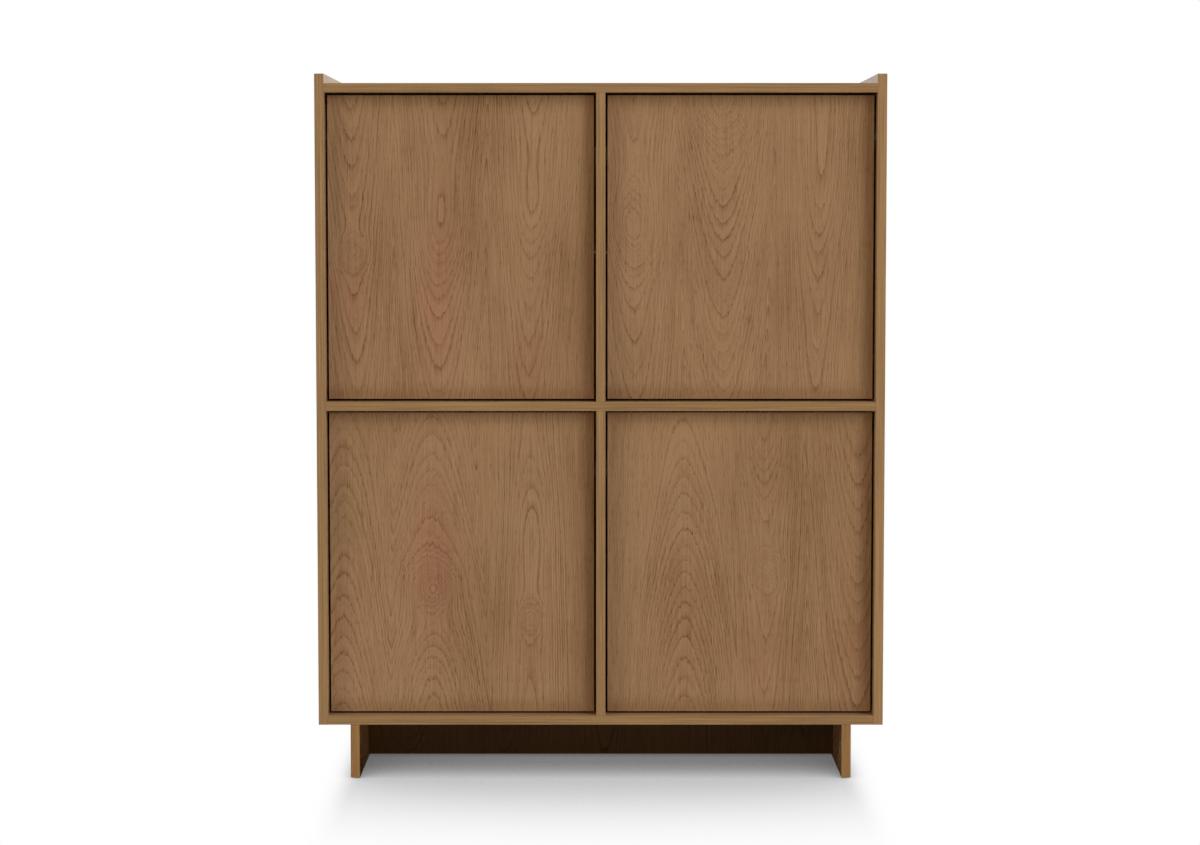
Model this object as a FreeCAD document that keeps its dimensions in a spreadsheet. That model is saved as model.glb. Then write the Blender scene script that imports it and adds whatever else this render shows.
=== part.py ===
"""Four-door highboard in veneered board, standing on two panel feet joined by a set-back rail.

Row frame: millimetres, +Z up, front towards -Y, origin on the floor under the middle of the cabinet.
The left half is modelled and the right half mirrors it. Every size below is a cell of the sheet, and
every sub-part is bound to those cells by formulas that use the cells' aliases.
"""
import FreeCAD, Part
import os
import re
import Sketcher
from FreeCAD import Rotation, Vector

SIZES = {
    # Carcass
    "carcass_width": 1100,
    "carcass_depth": 400,
    "board": 18,
    "lip_height": 18,
    "lower_opening": 596,
    "upper_opening": 596,
    "edge_bevel": 0.6,
    # Base
    "foot_height": 104,
    "foot_inset": 62,
    "rail_setback": 140,
    "rail_clearance": 10,
    "glide_height": 2,
    "glide_diameter": 14,
    "glide_inset": 20,
    "nail_diameter": 2,
    "nail_length": 12,
    # Back panels, held in grooves
    "back_board": 5,
    "back_inset": 10,
    "groove_depth": 7,
    "groove_play": 0.4,
    "panel_play": 1,
    "divider_play": 0.4,
    # Dowels that join the boards
    "dowel_diameter": 8,
    "dowel_in_face": 10,
    "dowel_in_edge": 20,
    "dowel_slack": 1,
    "dowel_play": 0.1,
    "dowel_inset": 60,
    "dowel_stagger": 40,
    "rail_dowel_drop": 24,
    # Loose shelves and their pins
    "shelf_board": 18,
    "shelf_setback": 70,
    "shelf_rise": 290,
    "shelf_play": 1,
    "shelf_back_gap": 2,
    "shelf_pin_diameter": 5,
    "shelf_pin_play": 0.1,
    "shelf_pin_seat": 7,
    "shelf_pin_reach": 9,
    "shelf_pin_width": 8,
    "shelf_pin_inset": 40,
    "shelf_pin_rows": 3,
    "shelf_pin_spacing": 32,
    # Doors
    "door_board": 18,
    "door_recess": 18,
    "door_gap": 4,
    "door_swing": 95,
    # Concealed hinges
    "hinge_from_end": 80,
    "edge_clearance": 0.55,
    "cup_edge": 5,
    "cup_diameter": 35,
    "cup_depth": 13,
    "cup_play": 0.15,
    "cup_wall": 0.9,
    "cup_floor": 1,
    "cup_offset": 3,
    "rim_width": 2,
    "rim_height": 1.2,
    "wing_length": 62,
    "wing_width": 14,
    "wing_pitch": 48,
    "hinge_pin_diameter": 4,
    "hinge_pin_play": 0.05,
    "knuckle_radius": 3.4,
    "knuckle_clearance": 0.6,
    "arm_width": 12,
    "arm_strap": 2.5,
    "arm_length": 48,
    "arm_screw_reach": 38,
    "arm_bend": 1.5,
    "arm_flange": 1.2,
    "flange_clearance": 0.5,
    "neck_clearance": 1.3,
    "cross_clearance": 2,
    "plate_height": 5,
    "plate_board": 2.5,
    "plate_span": 48,
    "plate_width": 16,
    "plate_pitch": 32,
    "bar_width": 8.6,
    "bar_bevel": 0.8,
    # Push latches
    "latch_drop": 120,
    "latch_length": 60,
    "latch_flange": 2.5,
    "latch_span": 36,
    "latch_pitch": 26,
    "latch_offset": 8.5,
    "latch_clip": 4,
    "barrel_diameter": 12,
    "plunger_diameter": 6,
    "plunger_play": 0.3,
    "plunger_length": 44,
    "tip_diameter": 8,
    "tip_length": 5,
    "tip_bevel": 1,
    "tip_clearance": 0.3,
    "tip_standoff": 0.6,
    "strike_board": 1,
    "strike_width": 8,
    "strike_span": 20,
    "strike_edge": 0.5,
    "strike_clip": 1.5,
    # Screws
    "screw_diameter": 3.5,
    "screw_length": 10,
    "screw_play": 0.1,
    "screw_head_diameter": 6.5,
    "screw_head_height": 1.6,
    "head_bevel": 0.6,
    "recess_span": 3.6,
    "recess_width": 0.9,
    "recess_depth": 0.9,
}

# Heights above the floor
BASE_TOP = "(glide_height + foot_height)"
LOWER_FLOOR = f"({BASE_TOP} + board)"
MIDDLE_UNDER = f"({LOWER_FLOOR} + lower_opening)"
UPPER_FLOOR = f"({MIDDLE_UNDER} + board)"
TOP_UNDER = f"({UPPER_FLOOR} + upper_opening)"
SIDE_HEIGHT = f"({TOP_UNDER} + board + lip_height - {BASE_TOP})"

# Across and along the cabinet
INNER_X = "(carcass_width / 2 - board)"
INNER_WIDTH = f"(2 * {INNER_X})"
OPENING_WIDTH = f"({INNER_X} - board / 2)"
FRONT = "(-carcass_depth / 2)"
FOOT_MIDDLE = "(-carcass_width / 2 + foot_inset + board / 2)"
BACK_FACE = "(carcass_depth - back_inset - back_board)"
GROOVE_START = f"({BACK_FACE} - groove_play / 2)"
GROOVE_WIDTH = "(back_board + groove_play)"
PANEL_IN_GROOVE = "(groove_depth - panel_play)"
DIVIDER_DEPTH = f"({BACK_FACE} - divider_play)"
DOOR_FRONT = f"({FRONT} + door_recess)"
DOOR_BACK = f"({DOOR_FRONT} + door_board)"
DOOR_WIDTH = f"({OPENING_WIDTH} - 2 * door_gap)"

# Dowels and shelves
DOWEL_HOLE = "(dowel_diameter + 2 * dowel_play)"
FACE_HOLE = "(dowel_in_face + dowel_slack)"
EDGE_HOLE = "(dowel_in_edge + dowel_slack)"
DOWEL_LENGTH = "(dowel_in_face + dowel_in_edge)"
DOWEL_ROWS = ("dowel_inset", "(carcass_depth - dowel_inset)")
UPPER_DOWELS = ("dowel_inset", f"({DIVIDER_DEPTH} - dowel_inset)")
LOWER_DOWELS = tuple(f"({place} + {turn} * dowel_stagger)" for place, turn in zip(UPPER_DOWELS, (1, -1)))
RAIL_FRONT = f"({FRONT} + rail_setback)"
RAIL_HEIGHT = f"({BASE_TOP} - rail_clearance)"
RAIL_LENGTH = "(carcass_width - 2 * foot_inset - 2 * board)"
RAIL_DOWELS = ("rail_dowel_drop", f"({RAIL_HEIGHT} - rail_dowel_drop)")
SHELF_DEPTH = f"({BACK_FACE} - shelf_setback - shelf_back_gap)"
SHELF_PIN_ROW = "(shelf_rise - shelf_pin_diameter / 2)"
SHELF_PIN_COLUMNS = (
    "(shelf_setback + shelf_pin_inset)",
    f"(shelf_setback + {SHELF_DEPTH} - shelf_pin_inset)",
)
SHELF_PIN_HOLE = "(shelf_pin_diameter + 2 * shelf_pin_play)"

# Hinge pivot: how far behind the door's front it lies, and how far in from the door's edge it has to
# lie for the front corner to pass the side panel
PIVOT_DEPTH = "(door_board - cup_depth + cup_floor + knuckle_radius + knuckle_clearance)"
SWING_ROOM = "(door_gap - edge_clearance)"
LEAST_INSET = f"(({PIVOT_DEPTH}^2 - {SWING_ROOM}^2) / (2 * {SWING_ROOM}))"
PIVOT_INSET = f"max(cup_edge + cup_diameter / 2 - cup_offset; {LEAST_INSET})"
CUP_INSET = f"({PIVOT_INSET} + cup_offset)"
PIVOT_X = f"(door_gap + {PIVOT_INSET})"
PIVOT_Y = f"({DOOR_FRONT} + {PIVOT_DEPTH})"
EDGE_SWEEP = f"sqrt({PIVOT_DEPTH}^2 + {PIVOT_INSET}^2)"
NECK_REACH = (
    f"(-{PIVOT_INSET} * cos(door_swing * 1 deg)"
    f" + (door_board - {PIVOT_DEPTH}) * sin(door_swing * 1 deg) + neck_clearance)"
)
CROSS_REACH = f"({EDGE_SWEEP} + cross_clearance)"
PLATE_START = f"({PIVOT_Y} + {CROSS_REACH})"
CUP_RADIUS = "(cup_diameter / 2 - cup_play)"
CUP_HOLLOW = f"({CUP_RADIUS} - cup_wall)"
HINGE_PIN_HOLE = "(hinge_pin_diameter + 2 * hinge_pin_play)"
SCREW_HOLE = "(screw_diameter + 2 * screw_play)"

# Latch: the plunger's axis, and the plane where its tip waits behind the closed door
LATCH_X = "(board / 2 + latch_offset)"
TIP_FRONT = f"({DOOR_BACK} + strike_board + tip_clearance)"
LATCH_FRONT = f"({TIP_FRONT} + tip_length + tip_standoff)"
BORE_DEPTH = "(plunger_length - tip_length + tip_clearance)"

# Each row of compartments: its name, the height of its floor, and its clear height
ROWS = (
    ("upper", UPPER_FLOOR, "upper_opening"),
    ("lower", LOWER_FLOOR, "lower_opening"),
)
START = 10.0
SAME_PLACE = 1e-6
ALIAS = re.compile(r"[a-z][a-z_]*")
TOWARDS = {"x": Vector(1, 0, 0), "y": Vector(0, 1, 0), "z": Vector(0, 0, 1)}

doc = FreeCAD.newDocument("Highboard")
nodes = {}
cuts = []


def make_sheet():
    """Puts each driving size in a cell of its own, under its alias."""
    sheet = doc.addObject("Spreadsheet::Sheet", "Sizes")
    for row, (alias, value) in enumerate(SIZES.items(), start=1):
        sheet.set(f"A{row}", alias)
        sheet.set(f"B{row}", str(value))
        sheet.setAlias(f"B{row}", alias)
    doc.recompute()
    return sheet


def linked(formula):
    """Points each alias in a formula at its cell."""
    return ALIAS.sub(lambda word: f"Sizes.{word[0]}" if word[0] in SIZES else word[0], formula)


def bind(item, setting, formula):
    """Binds one property of an object to a formula."""
    item.setExpression(setting, linked(formula))


def place(item, spot):
    """Binds the object's position to three formulas."""
    for axis, formula in zip("xyz", spot):
        bind(item, f"Placement.Base.{axis}", formula)


def keep(label, item):
    """Names a finished sub-part."""
    item.Label = label
    nodes[label] = item
    return item


def new_body(label, spot):
    """Starts a sub-part whose own axes run along the row's axes."""
    body = doc.addObject("PartDesign::Body", label)
    place(body, spot)
    return keep(label, body)


def origin_item(body, role):
    """Finds one of the body's own planes or axes."""
    return next(item for item in body.Origin.OriginFeatures if item.Role == role)


def sketch_on(body, plane, lift="0", corner=("0", "0")):
    """Starts a sketch on a plane of the body, lifted off it, with its origin moved to a corner."""
    sketch = body.newObject("Sketcher::SketchObject", "Sketch")
    sketch.AttachmentSupport = [(origin_item(body, plane), "")]
    sketch.MapMode = "FlatFace"
    for axis, formula in zip("xyz", (*corner, lift)):
        bind(sketch, f"AttachmentOffset.Base.{axis}", formula)
    return sketch


def dimension(sketch, rule, ends, formula):
    """Adds one driving dimension to a sketch and binds it."""
    index = sketch.addConstraint(Sketcher.Constraint(rule, *ends, START))
    bind(sketch, f"Constraints[{index}]", formula)


def outline(sketch, corners):
    """Draws a closed outline of straight lines through corners given from the sketch's origin."""
    count = len(corners)
    turn = [Rotation(Vector(0, 0, 1), 360 * step / count) for step in range(count)]
    ring = [step.multVec(Vector(START, 0, 0)) for step in turn]
    for start, end in zip(ring, ring[1:] + ring[:1]):
        sketch.addGeometry(Part.LineSegment(start, end), False)
    for line in range(count):
        sketch.addConstraint(Sketcher.Constraint("Coincident", line, 2, (line + 1) % count, 1))
    for line, (across, along) in enumerate(corners):
        dimension(sketch, "DistanceX", (-1, 1, line, 1), across)
        dimension(sketch, "DistanceY", (-1, 1, line, 1), along)
    return sketch


def rectangle(sketch, width, height):
    """Draws a rectangle from the sketch's origin."""
    return outline(sketch, [("0", "0"), (width, "0"), (width, height), ("0", height)])


def clipped(sketch, width, height, clip):
    """Draws a rectangle from the sketch's origin with its corners cut off."""
    right = f"({width} - {clip})"
    upper = f"({height} - {clip})"
    return outline(sketch, [
        (clip, "0"), (right, "0"), (width, clip), (width, upper),
        (right, height), (clip, height), ("0", upper), ("0", clip),
    ])


def circles(sketch, spots, diameter):
    """Draws equal circles at spots given from the sketch's origin."""
    for across, along in spots:
        circle = Part.Circle(Vector(START, START, 0), Vector(0, 0, 1), START)
        index = sketch.addGeometry(circle, False)
        dimension(sketch, "DistanceX", (-1, 1, index, 3), across)
        dimension(sketch, "DistanceY", (-1, 1, index, 3), along)
        dimension(sketch, "Diameter", (index,), diameter)
    return sketch


def pad(body, sketch, length):
    """Raises a sketch along its plane's normal."""
    feature = body.newObject("PartDesign::Pad", "Pad")
    feature.Profile = sketch
    bind(feature, "Length", length)
    return feature


def pocket(body, sketch, depth, forward=False):
    """Sinks a sketch against its plane's normal, or along it if forward, and notes the cut for checking."""
    feature = body.newObject("PartDesign::Pocket", "Pocket")
    feature.Profile = sketch
    feature.Reversed = forward
    bind(feature, "Length", depth)
    cuts.append(feature)
    return feature


def drill(body, plane, spots, diameter, depth, lift="0", forward=False):
    """Drills equal blind holes into a face of the body."""
    return pocket(body, circles(sketch_on(body, plane, lift), spots, diameter), depth, forward)


def revolve(body, sketch):
    """Turns a sketch about its own upright axis."""
    feature = body.newObject("PartDesign::Revolution", "Revolution")
    feature.Profile = sketch
    feature.ReferenceAxis = (sketch, ["V_Axis"])
    feature.Angle = 360
    return feature


def repeat_up(body, distance):
    """Gives the whole sub-part a twin at a distance above it."""
    doc.recompute()
    pattern = body.newObject("PartDesign::LinearPattern", "Pair")
    pattern.TransformMode = "Whole shape"
    pattern.Direction = (origin_item(body, "Z_Axis"), [""])
    bind(pattern, "Length", distance)
    pattern.Occurrences = 2
    body.Tip = pattern


def bevel_front(body, runs):
    """Eases the edges that lie in the body's front plane and run along the given axes."""
    doc.recompute()
    base = body.Tip
    front = min(vertex.Y for vertex in base.Shape.Vertexes)
    names = []
    for number, edge in enumerate(base.Shape.Edges, start=1):
        ends = [vertex.Point for vertex in edge.Vertexes]
        span = ends[-1] - ends[0]
        in_front = all(abs(end.y - front) < SAME_PLACE for end in ends)
        if in_front and any(span.cross(TOWARDS[run]).Length < SAME_PLACE for run in runs):
            names.append(f"Edge{number}")
    feature = body.newObject("PartDesign::Chamfer", "Bevel")
    feature.Base = (base, names)
    bind(feature, "Size", "edge_bevel")


def block(size, spot):
    """Makes a plain block from its lowest corner."""
    item = doc.addObject("Part::Box", "Block")
    for setting, formula in zip(("Length", "Width", "Height"), size):
        bind(item, setting, formula)
    place(item, spot)
    return item


def rod(axis, diameter, length, spot):
    """Makes a round rod that runs from a spot along a row axis."""
    item = doc.addObject("Part::Cylinder", "Rod")
    bind(item, "Radius", f"({diameter}) / 2")
    bind(item, "Height", length)
    item.Placement.Rotation = Rotation(TOWARDS["z"], TOWARDS[axis])
    place(item, spot)
    return item


def join(items):
    """Unites touching solids."""
    whole = doc.addObject("Part::MultiFuse", "Join")
    whole.Shapes = items
    return whole


def cut(base, tool):
    """Takes one solid out of another."""
    rest = doc.addObject("Part::Cut", "Cut")
    rest.Base = base
    rest.Tool = tool
    return rest


def group(items, label=None):
    """Gathers separate solids of one kind."""
    gathered = doc.addObject("Part::Compound", "Group")
    gathered.Links = items
    return keep(label, gathered) if label else gathered


def mirrored(source, label=None):
    """Makes the right-hand twin of a left-hand item."""
    twin = doc.addObject("Part::Mirroring", "Mirror")
    twin.Source = source
    twin.Normal = TOWARDS["x"]
    return keep(label, twin) if label else twin


def headed_pin(head, shank):
    """A round head with a bevelled rim standing on the origin, and its shank below."""
    head_diameter, head_height = head
    shank_diameter, shank_length = shank
    rim = f"({head_height} - head_bevel)"
    crown = doc.addObject("Part::Cone", "Crown")
    bind(crown, "Radius1", f"{head_diameter} / 2")
    bind(crown, "Radius2", f"{head_diameter} / 2 - head_bevel")
    bind(crown, "Height", "head_bevel")
    place(crown, ("0", "0", rim))
    return join([
        rod("z", head_diameter, rim, ("0", "0", "0")),
        crown,
        rod("z", shank_diameter, shank_length, ("0", "0", f"-{shank_length}")),
    ])


def stand(item, spot, facing):
    """Stands an item made at the origin on a spot, with its top facing a way."""
    item.Placement.Rotation = Rotation(TOWARDS["z"], facing)
    place(item, spot)
    return item


def screw(spot, length, facing):
    """One pan-head screw with a cross recess."""
    pin = headed_pin(("screw_head_diameter", "screw_head_height"), ("screw_diameter", length))
    floor = "screw_head_height - recess_depth"
    slots = [
        block((span, width, "recess_depth"), (f"-{span} / 2", f"-{width} / 2", floor))
        for span, width in (("recess_span", "recess_width"), ("recess_width", "recess_span"))
    ]
    return stand(cut(pin, join(slots)), spot, facing)


def hinge_heights(opening):
    """Where the two hinges of a door lie above its compartment's floor."""
    return ("(door_gap + hinge_from_end)", f"({opening} - door_gap - hinge_from_end)")


def hinge_spread(opening):
    """The distance between the two hinges of a door."""
    return f"({opening} - 2 * door_gap - 2 * hinge_from_end)"


def pin_holes(floor):
    """Shelf pin holes in one wall of a compartment, from the wall's front and the given floor."""
    rows = range(SIZES["shelf_pin_rows"])
    lift = f"({floor} + {SHELF_PIN_ROW} - (shelf_pin_rows - 1) / 2 * shelf_pin_spacing)"
    return [(across, f"({lift} + {row} * shelf_pin_spacing)") for row in rows for across in SHELF_PIN_COLUMNS]


def plate_screws(opening):
    """Screw places of a door's two hinge plates, from the carcass front and the compartment's floor."""
    across = f"({PLATE_START} - {FRONT} + arm_length / 2)"
    heights = hinge_heights(opening)
    return [(across, f"({height} + {turn} * plate_pitch / 2)") for height in heights for turn in (-1, 1)]


def latch_screws(opening):
    """Screw places of a latch, from the carcass front and the compartment's floor."""
    across = f"({LATCH_FRONT} - {FRONT} + latch_length / 2)"
    return [(across, f"({opening} - latch_drop + {turn} * latch_pitch / 2)") for turn in (-1, 1)]


def make_sides():
    """Side panels: full height, with the lip above the top, grooved and drilled on the inner face."""
    body = new_body("left_side", ("-carcass_width / 2", FRONT, BASE_TOP))
    pad(body, rectangle(sketch_on(body, "YZ_Plane"), "carcass_depth", SIDE_HEIGHT), "board")
    bevel_front(body, "z")
    low = "(board - groove_depth)"
    high = f"({TOP_UNDER} - {BASE_TOP} + groove_depth)"
    groove = sketch_on(body, "YZ_Plane", "board", (GROOVE_START, low))
    pocket(body, rectangle(groove, GROOVE_WIDTH, f"({high} - {low})"), "groove_depth")
    levels = [f"({floor} - {BASE_TOP} - board / 2)" for floor in (LOWER_FLOOR, UPPER_FLOOR)]
    levels.append(f"({TOP_UNDER} - {BASE_TOP} + board / 2)")
    spots = [(across, level) for level in levels for across in DOWEL_ROWS]
    drill(body, "YZ_Plane", spots, DOWEL_HOLE, FACE_HOLE, "board")
    for _, floor, opening in ROWS:
        spots = pin_holes(f"({floor} - {BASE_TOP})")
        drill(body, "YZ_Plane", spots, SHELF_PIN_HOLE, "shelf_pin_seat", "board")
        spots = [(across, f"({floor} - {BASE_TOP} + {up})") for across, up in plate_screws(opening)]
        drill(body, "YZ_Plane", spots, SCREW_HOLE, "(screw_length - plate_board + screw_play)", "board")
    mirrored(body, "right_side")


def make_level(label, height, grooved, dividers, feet=False):
    """A level board between the sides, grooved on the given faces and drilled for its neighbours."""
    body = new_body(label, (f"-{INNER_X}", FRONT, height))
    pad(body, rectangle(sketch_on(body, "XY_Plane"), INNER_WIDTH, "carcass_depth"), "board")
    bevel_front(body, "x")
    faces = {"under": ("0", True), "over": ("board", False)}
    for face in grooved:
        lift, forward = faces[face]
        groove = sketch_on(body, "XY_Plane", lift, ("0", GROOVE_START))
        pocket(body, rectangle(groove, INNER_WIDTH, GROOVE_WIDTH), "groove_depth", forward)
    for face, rows in dividers.items():
        lift, forward = faces[face]
        drill(body, "XY_Plane", [(INNER_X, row) for row in rows], DOWEL_HOLE, FACE_HOLE, lift, forward)
    if feet:
        reach = f"({INNER_X} - carcass_width / 2 + foot_inset + board / 2)"
        columns = (reach, f"({INNER_WIDTH} - {reach})")
        spots = [(column, row) for column in columns for row in DOWEL_ROWS]
        drill(body, "XY_Plane", spots, DOWEL_HOLE, FACE_HOLE, "0", True)
    ends = [(row, "board / 2") for row in DOWEL_ROWS]
    drill(body, "YZ_Plane", ends, DOWEL_HOLE, EDGE_HOLE, "0", True)
    drill(body, "YZ_Plane", ends, DOWEL_HOLE, EDGE_HOLE, INNER_WIDTH)


def make_divider(name, floor, opening, rows):
    """An upright board in the middle, drilled on both faces for shelf pins and latches."""
    body = new_body(f"{name}_divider", ("-board / 2", FRONT, floor))
    pad(body, rectangle(sketch_on(body, "YZ_Plane"), DIVIDER_DEPTH, opening), "board")
    bevel_front(body, "z")
    for lift, forward in (("0", True), ("board", False)):
        drill(body, "YZ_Plane", pin_holes("0"), SHELF_PIN_HOLE, "shelf_pin_seat", lift, forward)
        depth = "(screw_length - latch_flange + screw_play)"
        drill(body, "YZ_Plane", latch_screws(opening), SCREW_HOLE, depth, lift, forward)
    for lift, forward in (("0", True), (opening, False)):
        drill(body, "XY_Plane", [("board / 2", row) for row in rows], DOWEL_HOLE, EDGE_HOLE, lift, forward)


def make_back(name, floor, opening):
    """A thin back panel whose edges stand in the grooves."""
    width = f"({INNER_WIDTH} + 2 * {PANEL_IN_GROOVE})"
    corner = (f"-{width} / 2", "carcass_depth / 2 - back_inset", f"{floor} - {PANEL_IN_GROOVE}")
    body = new_body(f"{name}_back_panel", corner)
    height = f"({opening} + 2 * {PANEL_IN_GROOVE})"
    pad(body, rectangle(sketch_on(body, "XZ_Plane"), width, height), "back_board")


def make_base():
    """Two upright panel feet, the rail between them and the glides under them."""
    body = new_body("left_foot", ("-carcass_width / 2 + foot_inset", FRONT, "glide_height"))
    pad(body, rectangle(sketch_on(body, "YZ_Plane"), "carcass_depth", "foot_height"), "board")
    bevel_front(body, "z")
    drill(body, "XY_Plane", [("board / 2", row) for row in DOWEL_ROWS], DOWEL_HOLE, EDGE_HOLE, "foot_height")
    across = "(rail_setback + board / 2)"
    spots = [(across, f"({row} + rail_clearance - glide_height)") for row in RAIL_DOWELS]
    drill(body, "YZ_Plane", spots, DOWEL_HOLE, FACE_HOLE, "board")
    glide_rows = ("glide_inset", "(carcass_depth - glide_inset)")
    hole = "(nail_diameter + 2 * screw_play)"
    depth = "(nail_length + screw_play)"
    drill(body, "XY_Plane", [("board / 2", row) for row in glide_rows], hole, depth, "0", True)
    mirrored(body, "right_foot")
    rail = new_body("foot_rail", (f"-{RAIL_LENGTH} / 2", f"{RAIL_FRONT} + board", "rail_clearance"))
    pad(rail, rectangle(sketch_on(rail, "XZ_Plane"), RAIL_LENGTH, RAIL_HEIGHT), "board")
    ends = [("-board / 2", row) for row in RAIL_DOWELS]
    drill(rail, "YZ_Plane", ends, DOWEL_HOLE, EDGE_HOLE, "0", True)
    drill(rail, "YZ_Plane", ends, DOWEL_HOLE, EDGE_HOLE, RAIL_LENGTH)
    glides = []
    for row in glide_rows:
        glide = headed_pin(("glide_diameter", "glide_height"), ("nail_diameter", "nail_length"))
        glides.append(stand(glide, (FOOT_MIDDLE, f"{FRONT} + {row}", "glide_height"), -TOWARDS["z"]))
    pair = group(glides)
    group([pair, mirrored(pair)], "floor_glides")


def make_dowels():
    """Every dowel of the carcass and the base."""
    left = []
    unders = (BASE_TOP, MIDDLE_UNDER, TOP_UNDER)
    for level in [f"({under} + board / 2)" for under in unders]:
        for row in DOWEL_ROWS:
            spot = (f"-{INNER_X} - dowel_in_face", f"{FRONT} + {row}", level)
            left.append(rod("x", "dowel_diameter", DOWEL_LENGTH, spot))
    for row in DOWEL_ROWS:
        spot = (FOOT_MIDDLE, f"{FRONT} + {row}", f"{BASE_TOP} - dowel_in_edge")
        left.append(rod("z", "dowel_diameter", DOWEL_LENGTH, spot))
    for row in RAIL_DOWELS:
        spot = (f"-{RAIL_LENGTH} / 2 - dowel_in_face", f"{RAIL_FRONT} + board / 2", f"rail_clearance + {row}")
        left.append(rod("x", "dowel_diameter", DOWEL_LENGTH, spot))
    middle = []
    for (_, floor, opening), rows in zip(ROWS, (UPPER_DOWELS, LOWER_DOWELS)):
        for row in rows:
            for height in (f"{floor} - dowel_in_face", f"{floor} + {opening} - dowel_in_edge"):
                middle.append(rod("z", "dowel_diameter", DOWEL_LENGTH, ("0", f"{FRONT} + {row}", height)))
    side = group(left)
    group([side, mirrored(side), *middle], "carcass_dowels")


def make_shelves():
    """A loose shelf in each compartment, resting on four pins."""
    pins = []
    for name, floor, _ in ROWS:
        body = new_body(f"{name}_left_shelf", (
            f"-{INNER_X} + shelf_play", f"{FRONT} + shelf_setback", f"{floor} + shelf_rise"))
        width = f"({OPENING_WIDTH} - 2 * shelf_play)"
        pad(body, rectangle(sketch_on(body, "XY_Plane"), width, SHELF_DEPTH), "shelf_board")
        bevel_front(body, "x")
        mirrored(body, f"{name}_right_shelf")
        for column in SHELF_PIN_COLUMNS:
            along = f"{FRONT} + {column}"
            level = f"{floor} + {SHELF_PIN_ROW}"
            tongue = ("shelf_pin_reach", "shelf_pin_width", "shelf_pin_diameter")
            edge = f"{along} - shelf_pin_width / 2"
            under = f"{floor} + shelf_rise - shelf_pin_diameter"
            walls = (
                (f"-{INNER_X}", f"-{INNER_X} - shelf_pin_seat"),
                ("-board / 2 - shelf_pin_reach", "-board / 2"),
            )
            for tongue_start, seat_start in walls:
                seat = rod("x", "shelf_pin_diameter", "shelf_pin_seat", (seat_start, along, level))
                pins.append(join([block(tongue, (tongue_start, edge, under)), seat]))
    left = group(pins)
    group([left, mirrored(left)], "shelf_pins")


def make_door(name, floor, opening):
    """A flat inset door, bored at the back for its hinge cups and their screws."""
    height = f"({opening} - 2 * door_gap)"
    body = new_body(f"{name}_left_door", (f"-{INNER_X} + door_gap", DOOR_BACK, f"{floor} + door_gap"))
    pad(body, rectangle(sketch_on(body, "XZ_Plane"), DOOR_WIDTH, height), "door_board")
    bevel_front(body, "xz")
    levels = ("hinge_from_end", f"({height} - hinge_from_end)")
    drill(body, "XZ_Plane", [(CUP_INSET, level) for level in levels], "cup_diameter", "cup_depth", "0", True)
    spots = [(CUP_INSET, f"({level} + {turn} * wing_pitch / 2)") for level in levels for turn in (-1, 1)]
    drill(body, "XZ_Plane", spots, SCREW_HOLE, "(screw_length - rim_height + screw_play)", "0", True)
    mirrored(body, f"{name}_right_door")
    strike = new_body(f"{name}_left_strike_plate", (
        "-board / 2 - door_gap - strike_edge - strike_width", f"{DOOR_BACK} + strike_board",
        f"{floor} + {opening} - latch_drop - strike_span / 2"))
    plate = clipped(sketch_on(strike, "XZ_Plane"), "strike_width", "strike_span", "strike_clip")
    pad(strike, plate, "strike_board")
    mirrored(strike, f"{name}_right_strike_plate")


def make_cups(name, floor, opening):
    """Hinge cups: a turned cup with a rim, two screw wings and holes for the pivot pin."""
    low = hinge_heights(opening)[0]
    body = new_body(f"{name}_left_hinge_cups", (
        f"-{INNER_X} + door_gap + {CUP_INSET}", DOOR_BACK, f"{floor} + {low}"))
    rim = f"({CUP_RADIUS} + rim_width)"
    top = "(cup_depth + rim_height)"
    shape = sketch_on(body, "XY_Plane", corner=("0", "-cup_depth"))
    outline(shape, [
        ("0", "0"),
        (CUP_RADIUS, "0"),
        (CUP_RADIUS, "cup_depth"),
        (rim, "cup_depth"),
        (rim, top),
        ("0", top),
    ])
    revolve(body, shape)
    straight = "(wing_length - wing_width)"
    wings = sketch_on(body, "XZ_Plane", "-rim_height", ("-wing_width / 2", f"-{straight} / 2"))
    pad(body, rectangle(wings, "wing_width", straight), "rim_height")
    ends = [("0", f"{turn} * {straight} / 2") for turn in (-1, 1)]
    pad(body, circles(sketch_on(body, "XZ_Plane", "-rim_height"), ends, "wing_width"), "rim_height")
    middle = ("0", "0")
    drill(body, "XZ_Plane", [middle], f"(2 * {CUP_HOLLOW})", f"({top} - cup_floor)", "-rim_height", True)
    spots = [("0", f"{turn} * wing_pitch / 2") for turn in (-1, 1)]
    drill(body, "XZ_Plane", spots, SCREW_HOLE, "rim_height", "-rim_height", True)
    pivot = [("-cup_offset", f"{PIVOT_DEPTH} - door_board")]
    bore = drill(body, "XY_Plane", pivot, HINGE_PIN_HOLE, "cup_diameter")
    bore.Midplane = True
    repeat_up(body, hinge_spread(opening))
    mirrored(body, f"{name}_right_hinge_cups")
    half = f"sqrt({CUP_RADIUS}^2 - (cup_offset + hinge_pin_diameter / 2)^2)"
    pins = []
    for height in hinge_heights(opening):
        spot = (f"-{INNER_X} + {PIVOT_X}", PIVOT_Y, f"{floor} + {height} - {half}")
        pins.append(rod("z", "hinge_pin_diameter", f"(2 * {half})", spot))
    pair = group(pins, f"{name}_left_hinge_pins")
    mirrored(pair, f"{name}_right_hinge_pins")
    screws = []
    for height in hinge_heights(opening):
        for turn in (-1, 1):
            spot = (f"-{INNER_X} + door_gap + {CUP_INSET}", f"{DOOR_BACK} + rim_height",
                    f"{floor} + {height} + {turn} * wing_pitch / 2")
            screws.append(screw(spot, "screw_length", TOWARDS["y"]))
    fixed = group(screws, f"{name}_left_cup_screws")
    mirrored(fixed, f"{name}_right_cup_screws")


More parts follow.
